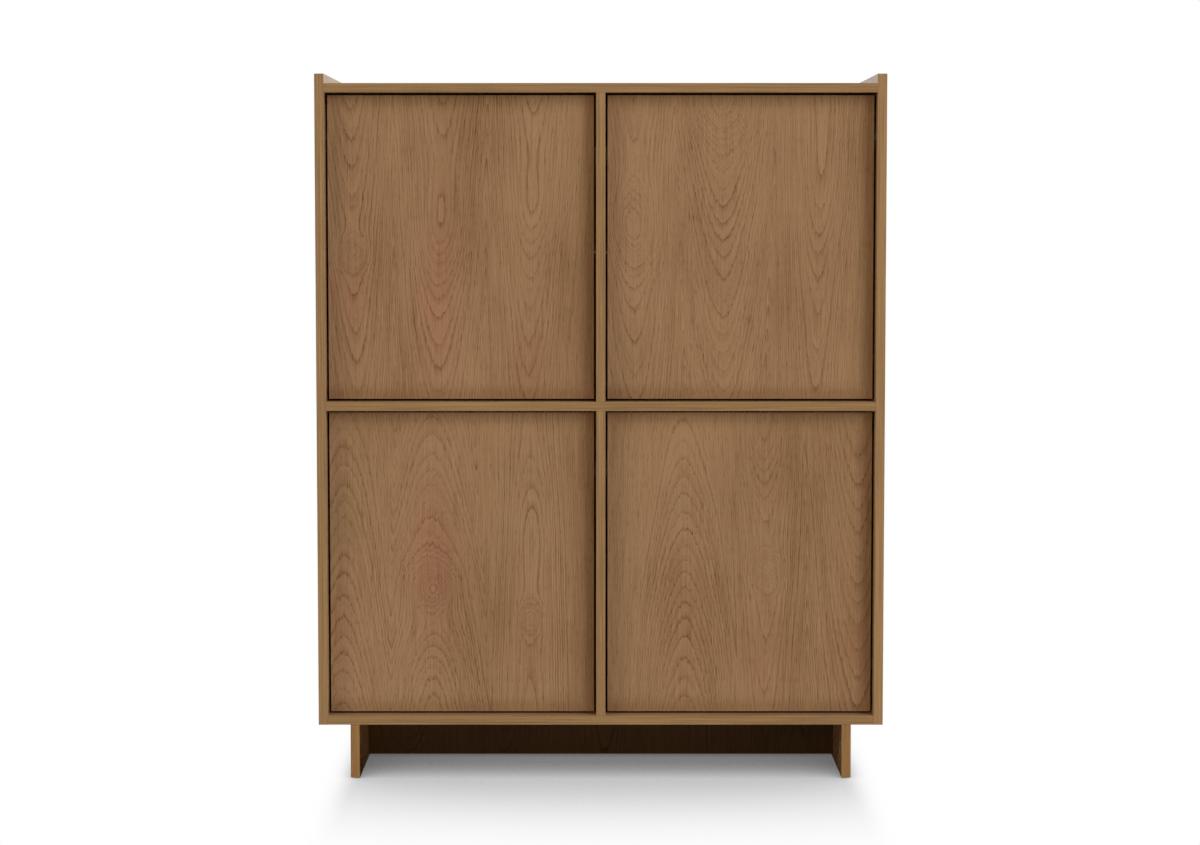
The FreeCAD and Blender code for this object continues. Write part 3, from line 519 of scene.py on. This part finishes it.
def use_group(tree, group, settings):
    """Puts a group into a tree and returns its outputs as fields."""
    node = put(tree, "ShaderNodeGroup", settings, node_tree=group)
    return {socket.name: Field(tree, socket) for socket in node.outputs}


def leaf_group():
    """Growth rings of one flat-cut leaf.

    A point's ring is the cut's distance from the log's heart plus a power of the point's offset from the
    leaf's middle, which nests the rings in pointed arches. The cut's distance runs evenly from low to high
    along the leaf and dips by a bell at each eye.
    """
    eyes = [f"{part} {number}" for number in range(EYES_PER_LEAF) for part in EYE_PARTS]
    inputs = ["Across", "Along", "Middle", "Lean", "Wide", "Low", "High", "Height", *eyes]
    tree, field = new_group("veneer_leaf", inputs, ["Rings", "Heart"])
    share = field["Along"] / field["Height"]
    offset = field["Across"] - field["Middle"] - field["Lean"] * (share - 0.5)
    cut = field["Low"] + (field["High"] - field["Low"]) * share
    for number in range(EYES_PER_LEAF):
        away = field["Along"] - field[f"Eye {number}"]
        bell = away.hill(field[f"Length {number}"]) * offset.hill(field[f"Width {number}"])
        cut = cut - field[f"Dip {number}"] * bell
    spread = offset / field["Wide"]
    aside = (spread * spread + ARCH_TIP ** 2).math("SQRT")
    rings = cut + (aside / ARCH_SPREAD) ** ARCH_POWER * ARCH_SPREAD
    return end_group(tree, {"Rings": rings, "Heart": offset.hill(HEART_WIDTH)})


def wander_group():
    """Bends a board's straight coordinates as a tree's fibres bend: broad and fine noise moves points
    across the grain, and broad noise and noise that differs from fibre to fibre move them along it."""
    tree, field = new_group("veneer_wander", ["Across", "Along", "Seed"], ["Across", "Along"])
    place = (field["Across"], field["Along"], field["Seed"])
    sideways = [grain_noise(tree, *place, pattern) for pattern in (BROAD_WANDER, FINE_WANDER, RIPPLE)]
    upwards = [grain_noise(tree, *place, pattern, RISE_DETAIL) for pattern in (RISE, FIBRE_JITTER)]
    across = total([field["Across"], *sideways])
    along = total([field["Along"], *upwards])
    return end_group(tree, {"Across": across, "Along": along})


def grain_group():
    """Shade of the veneer on a face, from the growth rings and the streaks of pores and fibres.

    The place inside a ring is the fraction of its distance over the ring width. A ring starts dark and
    fades with a power of that fraction. Each ring has a strength of its own, and broad noise makes the
    whole figure stronger and weaker.
    """
    inputs = ["Across", "Along", "Rings", "Heart", "Ring width", "Seed"]
    tree, field = new_group("veneer_grain", inputs, ["Ring", "Pore", "Tone"])
    place = (field["Across"], field["Along"], field["Seed"])
    often, reach = RING_WANDER
    uneven = noise(tree, point(tree, field["Rings"] * often, field["Seed"])) * reach
    count = field["Rings"] / field["Ring width"] + uneven
    fraction = count.math("FRACT")
    strength = put(tree, "ShaderNodeTexWhiteNoise", {"W": count.math("FLOOR")}, noise_dimensions="1D")
    strength = Field(tree, strength.outputs["Value"]) * (1 - RING_LEAST) + RING_LEAST
    heart = field["Heart"] * field["Heart"]
    ring = (1 - fraction) ** (heart * HEART_SHARPNESS + RING_FADE) * strength
    ring = ring * (heart * HEART_STRENGTH + 1)
    fine = (count * SUB_RINGS).math("FRACT")
    ring = ring + (1 - fine) ** SUB_RING_FADE * heart * SUB_RING_STRENGTH
    figure = grain_noise(tree, field["Across"], field["Along"], field["Seed"] * -1, FIGURE)
    ring = ring * (figure + 1)
    pore = grain_noise(tree, *place, PORES).step(PORE_START, PORE_FULL) * (1 - fraction * PORE_FADE)
    core = field["Rings"].hill(CORE_WIDTH) * -CORE_SHADE
    tones = [grain_noise(tree, *place, pattern) for pattern in (FIBRES, MOTTLE, CLOUDS)]
    streaks = grain_noise(tree, field["Rings"], field["Along"], field["Seed"], STREAKS)
    return end_group(tree, {"Ring": ring, "Pore": pore, "Tone": total([core, *tones, streaks])})


def band_group():
    """Shade of the straight-grained banding on a board's edges: long streaks across the thickness."""
    tree, field = new_group("veneer_band", ["Through", "Along", "Seed"], ["Tone"])
    place = (field["Through"], field["Along"], field["Seed"])
    tones = [grain_noise(tree, *place, pattern) for pattern in (BAND_STREAKS, BAND_FIBRES)]
    return end_group(tree, {"Tone": total(tones)})


def veneer_groups():
    """The node groups that all boards share, made once."""
    makers = {"leaf": leaf_group, "wander": wander_group, "grain": grain_group, "band": band_group}
    return {
        name: bpy.data.node_groups.get(f"veneer_{name}") or make()
        for name, make in makers.items()
    }


def new_material(name):
    """Starts a material and returns it with its tree and its surface shader."""
    material = bpy.data.materials.new(name)
    material.use_nodes = True
    tree = material.node_tree
    return material, tree, tree.nodes["Principled BSDF"]


def object_fields(tree):
    """The object coordinates and the object's own normal, by axis."""
    source = put(tree, "ShaderNodeTexCoord")
    fields = []
    for output in ("Object", "Normal"):
        split = put(tree, "ShaderNodeSeparateXYZ", {"Vector": source.outputs[output]})
        fields.append({axis: Field(tree, split.outputs[axis.upper()]) for axis in AXES})
    return fields


def mixed(tree, factor, low, high):
    """Mixes two colours by a field."""
    node = put(tree, "ShaderNodeMix", {"Factor": factor, "A": low, "B": high}, data_type="RGBA")
    return node.outputs["Result"]


def shaded(tree, colour, shade):
    """A colour times a field."""
    node = put(tree, "ShaderNodeVectorMath", {"Scale": shade}, operation="SCALE")
    feed(tree, node.inputs[0], colour)
    return node.outputs[0]


def opaque(colour):
    """A colour property as the four numbers that a colour socket holds."""
    return (*colour, 1.0)


def bump(tree, shader, height, strength, distance):
    """Raises the surface by a field."""
    node = put(tree, "ShaderNodeBump", {"Strength": strength, "Distance": distance, "Height": height})
    feed(tree, shader.inputs["Normal"], node.outputs["Normal"])


def leaf_figure(tree, board, bent, height, group):
    """Lays a board's leaves side by side, and returns their rings, their hearts and their redder stretches.

    A point has the smallest ring of all leaves, with a soft change from one leaf to the next. Hearts and
    redder stretches are added up.
    """
    rings = []
    hearts = []
    blushes = []
    for leaf in board.leaves:
        inputs = {
            "Across": bent["Across"], "Along": bent["Along"], "Middle": leaf.across, "Lean": leaf.lean,
            "Wide": leaf.wide, "Low": leaf.low, "High": leaf.high, "Height": height,
        }
        eyes = leaf.eyes + (NO_EYE,) * (EYES_PER_LEAF - len(leaf.eyes))
        for number, eye in enumerate(eyes):
            for part, value in zip(EYE_PARTS, eye):
                inputs[f"{part} {number}"] = value
        made = use_group(tree, group, inputs)
        level, reach, strength = leaf.blush
        rings.append(made["Rings"])
        hearts.append(made["Heart"])
        blushes.append(made["Heart"] * (bent["Along"] - level).hill(reach) * strength)
    smallest, *others = rings
    for ring in others:
        smallest = smallest.math("SMOOTH_MIN", ring, LEAF_SEAM)
    return smallest, total(hearts), total(blushes)


def veneer_material(node, board, groups, seed):
    """Veneer for one board: figured leaves on its faces and straight banding on its edges."""
    settings = bpy.context.scene.highboard_veneer
    material, tree, shader = new_material(f"veneer_{node}")
    place, normal = object_fields(tree)
    width_axis = next(axis for axis in AXES if axis not in (board.through, board.grain))
    low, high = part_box(node)
    across = place[width_axis] - low[AXES.index(width_axis)]
    along = place[board.grain] - low[AXES.index(board.grain)]
    height = (high - low)[AXES.index(board.grain)]
    bent = use_group(tree, groups["wander"], {"Across": across, "Along": along, "Seed": seed})
    rings, heart, blush = leaf_figure(tree, board, bent, height, groups["leaf"])
    grain = use_group(tree, groups["grain"], {
        "Across": bent["Across"], "Along": along, "Rings": rings, "Heart": heart,
        "Ring width": settings.ring, "Seed": seed})
    band = use_group(tree, groups["band"], {
        "Through": place[board.through], "Along": across + along, "Seed": seed})
    dark = grain["Ring"] * settings.ring_contrast + grain["Pore"] * settings.pore_contrast - grain["Tone"]
    face = mixed(tree, blush, opaque(settings.timber), opaque(settings.blush))
    face = mixed(tree, dark + (MEAN_DARKNESS + board.darker), face, opaque(settings.line))
    edge = shaded(tree, settings.banding, 1 - board.darker + band["Tone"])
    on_face = normal[board.through].math("ABSOLUTE").step(FACE_START, FACE_FULL)
    roughness = settings.roughness + grain["Pore"] * PORE_ROUGHNESS - grain["Tone"] * TONE_ROUGHNESS
    relief = grain["Tone"] - grain["Pore"] * PORE_DEPTH - grain["Ring"] * RING_DEPTH
    feed(tree, shader.inputs["Base Color"], mixed(tree, on_face, edge, face))
    feed(tree, shader.inputs["Roughness"], roughness)
    shader.inputs["Specular IOR Level"].default_value = settings.gloss
    shader.inputs["Specular Tint"].default_value = opaque(settings.gleam)
    bump(tree, shader, relief, *GRAIN_RELIEF)
    return material


def metal_material(name, colour, roughness, drawn, often):
    """Plated metal: streaked along one axis by the press or the die, with a soft blotchy plating."""
    material, tree, shader = new_material(name)
    place, _ = object_fields(tree)
    streak = solid_noise(tree, place, often, drawn, STREAK_DETAIL)
    blotch = solid_noise(tree, place, BLOTCHES_PER_METRE)
    shade = 1 + streak * STREAK_SHADE + blotch * BLOTCH_SHADE
    feed(tree, shader.inputs["Base Color"], shaded(tree, colour, shade))
    feed(tree, shader.inputs["Roughness"], roughness + streak * STREAK_ROUGHNESS + blotch * BLOTCH_ROUGHNESS)
    shader.inputs["Metallic"].default_value = 1.0
    bump(tree, shader, streak, *METAL_RELIEF)
    return material


def plastic_material(name, colour, roughness):
    """Moulded plastic: a fine spark-eroded texture and slight flow marks."""
    material, tree, shader = new_material(name)
    place, _ = object_fields(tree)
    texture = solid_noise(tree, place, TEXTURE_PER_METRE)
    flow = solid_noise(tree, place, FLOW_PER_METRE)
    shade = 1 + texture * TEXTURE_SHADE + flow * FLOW_SHADE
    feed(tree, shader.inputs["Base Color"], shaded(tree, colour, shade))
    feed(tree, shader.inputs["Roughness"], roughness + texture * TEXTURE_ROUGHNESS + flow * FLOW_ROUGHNESS)
    bump(tree, shader, texture, *PLASTIC_RELIEF)
    return material


def beech_material(name, colour, roughness):
    """Turned beech: short dark flecks on a pale ground, with slow changes of tone."""
    material, tree, shader = new_material(name)
    place, _ = object_fields(tree)
    spot = scaled(tree, place, FLECKS_PER_METRE)
    cells = put(tree, "ShaderNodeTexVoronoi", {"Vector": spot, "Scale": 1.0})
    fleck = 1 - Field(tree, cells.outputs["Distance"]).step(FLECK_CORE, FLECK_RIM)
    tone = solid_noise(tree, place, BEECH_TONES_PER_METRE)
    shade = 1 - fleck * FLECK_SHADE + tone * BEECH_TONE_DEPTH
    feed(tree, shader.inputs["Base Color"], shaded(tree, colour, shade))
    feed(tree, shader.inputs["Roughness"], roughness + tone * BEECH_TONE_DEPTH)
    bump(tree, shader, tone - fleck, *BEECH_RELIEF)
    return material


def dress(node, material):
    """Gives a CAD node its finish."""
    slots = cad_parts[node].material_slots
    if not slots:
        raise RuntimeError(f"{node} has no material slot")
    for slot in slots:
        slot.material = material


def dress_boards(nodes):
    """Veneers each of the given boards with a figure of its own."""
    groups = veneer_groups()
    order = list(BOARDS)
    for node in nodes:
        dress(node, veneer_material(node, BOARDS[node], groups, float(order.index(node))))


class HIGHBOARD_OT_carcass(bpy.types.Operator):
    """Veneers the sides, dividers, level boards, backs and shelves"""
    bl_idname = "highboard.carcass"
    bl_label = "Veneer the carcass"

    def execute(self, context):
        dress_boards([node for node in BOARDS if node not in (*BASE_BOARDS, *DOORS)])
        return {"FINISHED"}


class HIGHBOARD_OT_base(bpy.types.Operator):
    """Veneers the feet and their rail, and finishes the glides and the dowels"""
    bl_idname = "highboard.base"
    bl_label = "Finish the base"

    def execute(self, context):
        settings = context.scene.highboard_fittings
        dress_boards(BASE_BOARDS)
        dress("floor_glides", plastic_material("glide_plastic", settings.glide, GLIDE_ROUGHNESS))
        dress("carcass_dowels", beech_material("beech_dowel", settings.beech, BEECH_ROUGHNESS))
        return {"FINISHED"}


class HIGHBOARD_OT_doors(bpy.types.Operator):
    """Veneers the four doors, each with its own leaves"""
    bl_idname = "highboard.doors"
    bl_label = "Veneer the doors"

    def execute(self, context):
        dress_boards(DOORS)
        return {"FINISHED"}


class HIGHBOARD_OT_hinges(bpy.types.Operator):
    """Finishes the hinge cups, arms, plates and pins, the shelf pins and all screws"""
    bl_idname = "highboard.hinges"
    bl_label = "Finish the hinges"

    def execute(self, context):
        settings = context.scene.highboard_fittings
        nickel = metal_material("nickel_plate", settings.nickel, *NICKEL_FINISH)
        steel = metal_material("drawn_steel", settings.steel, *STEEL_FINISH)
        for place in COMPARTMENTS:
            for part in ("cups", "arms", "plates"):
                dress(f"{place}_hinge_{part}", nickel)
            dress(f"{place}_hinge_pins", steel)
            dress(f"{place}_cup_screws", steel)
        for node in ("hinge_plate_screws", "hinge_arm_screws", "latch_screws", "shelf_pins"):
            dress(node, steel)
        return {"FINISHED"}


class HIGHBOARD_OT_latches(bpy.types.Operator):
    """Finishes the latch housings, their plungers and the strike plates"""
    bl_idname = "highboard.latches"
    bl_label = "Finish the latches"

    def execute(self, context):
        settings = context.scene.highboard_fittings
        housing = plastic_material("latch_plastic", settings.latch, HOUSING_ROUGHNESS)
        plunger = plastic_material("plunger_plastic", settings.plunger, PLUNGER_ROUGHNESS)
        strike = metal_material("strike_steel", settings.nickel, *STRIKE_FINISH)
        for place in COMPARTMENTS:
            dress(f"{place}_latch_housing", housing)
            dress(f"{place}_latch_plunger", plunger)
            dress(f"{place}_strike_plate", strike)
        return {"FINISHED"}


def ray_field(tree, *rays):
    """1 for the named kinds of ray and 0 for all others."""
    path = put(tree, "ShaderNodeLightPath")
    seen = Field(tree, path.outputs[f"Is {rays[0]} Ray"])
    for ray in rays[1:]:
        seen = seen.math("MAXIMUM", path.outputs[f"Is {ray} Ray"])
    return seen


def floor_material(dome):
    """White floor that keeps the cabinet's shadow and gives the dome's light back from below.

    The shadow is the share of the sky that the cabinet hides. It is shown in full under the cabinet and
    dies away in a bell in front, behind and on both sides.
    """
    material, tree, shader = new_material("studio_floor")
    tree.nodes.remove(shader)
    place, _ = object_fields(tree)
    outer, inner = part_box("left_foot")
    front = (place["y"].math("ABSOLUTE") + outer.y).math("MAXIMUM", 0.0)
    aside = (place["x"].math("ABSOLUTE") + inner.x).math("MAXIMUM", 0.0)
    fade = front.hill(SHADOW_REACH) * aside.hill(SHADOW_SIDE_REACH)
    sky = put(tree, "ShaderNodeAmbientOcclusion", {"Distance": SHADOW_HEIGHT}, samples=SHADOW_SAMPLES)
    light = 1 - (1 - Field(tree, sky.outputs["AO"])) * fade * SHADOW_DEPTH
    shown = put(tree, "ShaderNodeEmission", {"Color": opaque(WHITE), "Strength": light})
    bounce = put(tree, "ShaderNodeEmission", {"Color": opaque(WHITE), "Strength": (1 - fade) * dome})
    whole = put(tree, "ShaderNodeMixShader", {"Fac": ray_field(tree, "Camera", "Transmission")})
    feed(tree, whole.inputs[1], bounce.outputs[0])
    feed(tree, whole.inputs[2], shown.outputs[0])
    feed(tree, tree.nodes["Material Output"].inputs["Surface"], whole.outputs[0])
    return material


def add_floor(dome):
    """A flat square floor at height 0: the four corners of a grid of its two edges."""
    side = np.array([-FLOOR_HALF, FLOOR_HALF])
    across, along = np.meshgrid(side, side)
    points = np.stack([across.ravel(), along.ravel(), np.zeros(across.size)], axis=1)
    mesh = bpy.data.meshes.new("studio_floor")
    mesh.from_pydata(points.tolist(), [], [(0, 1, 3, 2)])
    floor = bpy.data.objects.new("studio_floor", mesh)
    bpy.context.scene.collection.objects.link(floor)
    mesh.materials.append(floor_material(dome))
    floor.visible_shadow = False
    return floor


def direction(azimuth, elevation):
    """Unit vector towards a lamp: azimuth from the front towards the right, elevation above the floor."""
    level = math.cos(elevation)
    return Vector((math.sin(azimuth) * level, -math.cos(azimuth) * level, math.sin(elevation)))


def add_lamp(name, strength, colour, place, pieces, state="EXCLUDE", glint=True):
    """A soft distant lamp that shines on all but the given pieces or, with INCLUDE, on these alone. One
    without a glint isn't mirrored."""
    azimuth, elevation, spread = (math.radians(angle) for angle in place)
    data = bpy.data.lights.new(name, "SUN")
    data.energy = strength
    data.color = colour
    data.angle = spread
    lamp = bpy.data.objects.new(name, data)
    lamp.rotation_mode = "QUATERNION"
    lamp.rotation_quaternion = direction(azimuth, elevation).to_track_quat("Z", "Y")
    lamp.visible_glossy = glint
    bpy.context.scene.collection.objects.link(lamp)
    linked = bpy.data.collections.new(f"{name}_pieces")
    for piece in pieces:
        linked.objects.link(piece)
    lamp.light_linking.receiver_collection = linked
    for member in linked.collection_objects:
        member.light_linking.link_state = state


def add_lamps(settings, floor):
    """Lamps for the cabinet. The base stands in its shade, so four of them pass the base by."""
    feet = [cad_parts[node] for node in FEET]
    in_shade = [floor, *(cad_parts[node] for node in BASE_BOARDS)]
    add_lamp("key_light", settings.key, WHITE, KEY_PLACE, in_shade)
    add_lamp("bounce_light", settings.bounce, WHITE, BOUNCE_PLACE, in_shade)
    add_lamp("graze_light", settings.graze, settings.side_colour, GRAZE_PLACE, in_shade)
    add_lamp("fill_light", settings.fill, settings.side_colour, FILL_PLACE, [floor])
    add_lamp("back_light", settings.back, WHITE, BACK_PLACE, [floor])
    add_lamp("rear_light", settings.rear, WHITE, REAR_PLACE, [floor], glint=False)
    add_lamp("front_light", settings.front, settings.front_colour, FRONT_PLACE, in_shade, glint=False)
    add_lamp("low_light", settings.low, settings.returned, LOW_PLACE, feet, "INCLUDE", glint=False)


def add_surroundings(settings):
    """A world that is white where it is seen or mirrored, and otherwise gives the even light."""
    world = bpy.data.worlds.new("studio")
    world.use_nodes = True
    tree = world.node_tree
    seen = ray_field(tree, "Camera", "Glossy", "Transmission")
    background = tree.nodes["Background"]
    shown = mixed(tree, seen, opaque(settings.returned), opaque(WHITE))
    feed(tree, background.inputs["Color"], shown)
    feed(tree, background.inputs["Strength"], settings.dome + seen * (1.0 - settings.dome))
    bpy.context.scene.world = world


def add_camera(settings):
    """A camera in front of the cabinet that looks down a little."""
    lens = bpy.data.cameras.new("camera")
    lens.lens = settings.lens
    lens.shift_y = settings.rise
    camera = bpy.data.objects.new("camera", lens)
    camera.location = (settings.eye_offset, -settings.eye_distance, settings.eye_height)
    camera.rotation_euler = (math.pi / 2 - settings.tilt, 0.0, 0.0)
    bpy.context.scene.collection.objects.link(camera)
    bpy.context.scene.camera = camera


class HIGHBOARD_OT_stage(bpy.types.Operator):
    """Sets the white floor, the lamps, the surroundings and the camera"""
    bl_idname = "highboard.stage"
    bl_label = "Set the stage"

    def execute(self, context):
        settings = context.scene.highboard_stage
        context.scene.view_settings.view_transform = "Standard"
        floor = add_floor(settings.dome)
        add_lamps(settings, floor)
        add_surroundings(settings)
        add_camera(settings)
        return {"FINISHED"}


OPERATORS = (
    HIGHBOARD_OT_carcass, HIGHBOARD_OT_base, HIGHBOARD_OT_doors, HIGHBOARD_OT_hinges,
    HIGHBOARD_OT_latches, HIGHBOARD_OT_stage,
)
SETTINGS = {
    "highboard_veneer": VeneerSettings,
    "highboard_fittings": FittingSettings,
    "highboard_stage": StageSettings,
}


class HIGHBOARD_PT_panel(bpy.types.Panel):
    """Lists the steps and the settings that they read"""
    bl_idname = "HIGHBOARD_PT_panel"
    bl_label = "Highboard"
    bl_space_type = "VIEW_3D"
    bl_region_type = "UI"
    bl_category = "Highboard"

    def draw(self, context):
        layout = self.layout
        for operator in OPERATORS:
            layout.operator(operator.bl_idname)
        for name, group in SETTINGS.items():
            box = layout.box()
            values = getattr(context.scene, name)
            for setting in group.__annotations__:
                box.prop(values, setting)


CLASSES = (*SETTINGS.values(), *OPERATORS, HIGHBOARD_PT_panel)


def register():
    """Makes the settings, the steps and the panel known."""
    for item in CLASSES:
        bpy.utils.register_class(item)
    for name, group in SETTINGS.items():
        setattr(bpy.types.Scene, name, PointerProperty(type=group))


def unregister():
    """Takes them away again."""
    for name in SETTINGS:
        delattr(bpy.types.Scene, name)
    for item in reversed(CLASSES):
        bpy.utils.unregister_class(item)


def main():
    """Registers the steps and runs them in order."""
    register()
    for operator in OPERATORS:
        family, name = operator.bl_idname.split(".")
        getattr(getattr(bpy.ops, family), name)()


if __name__ == "__main__":
    main()
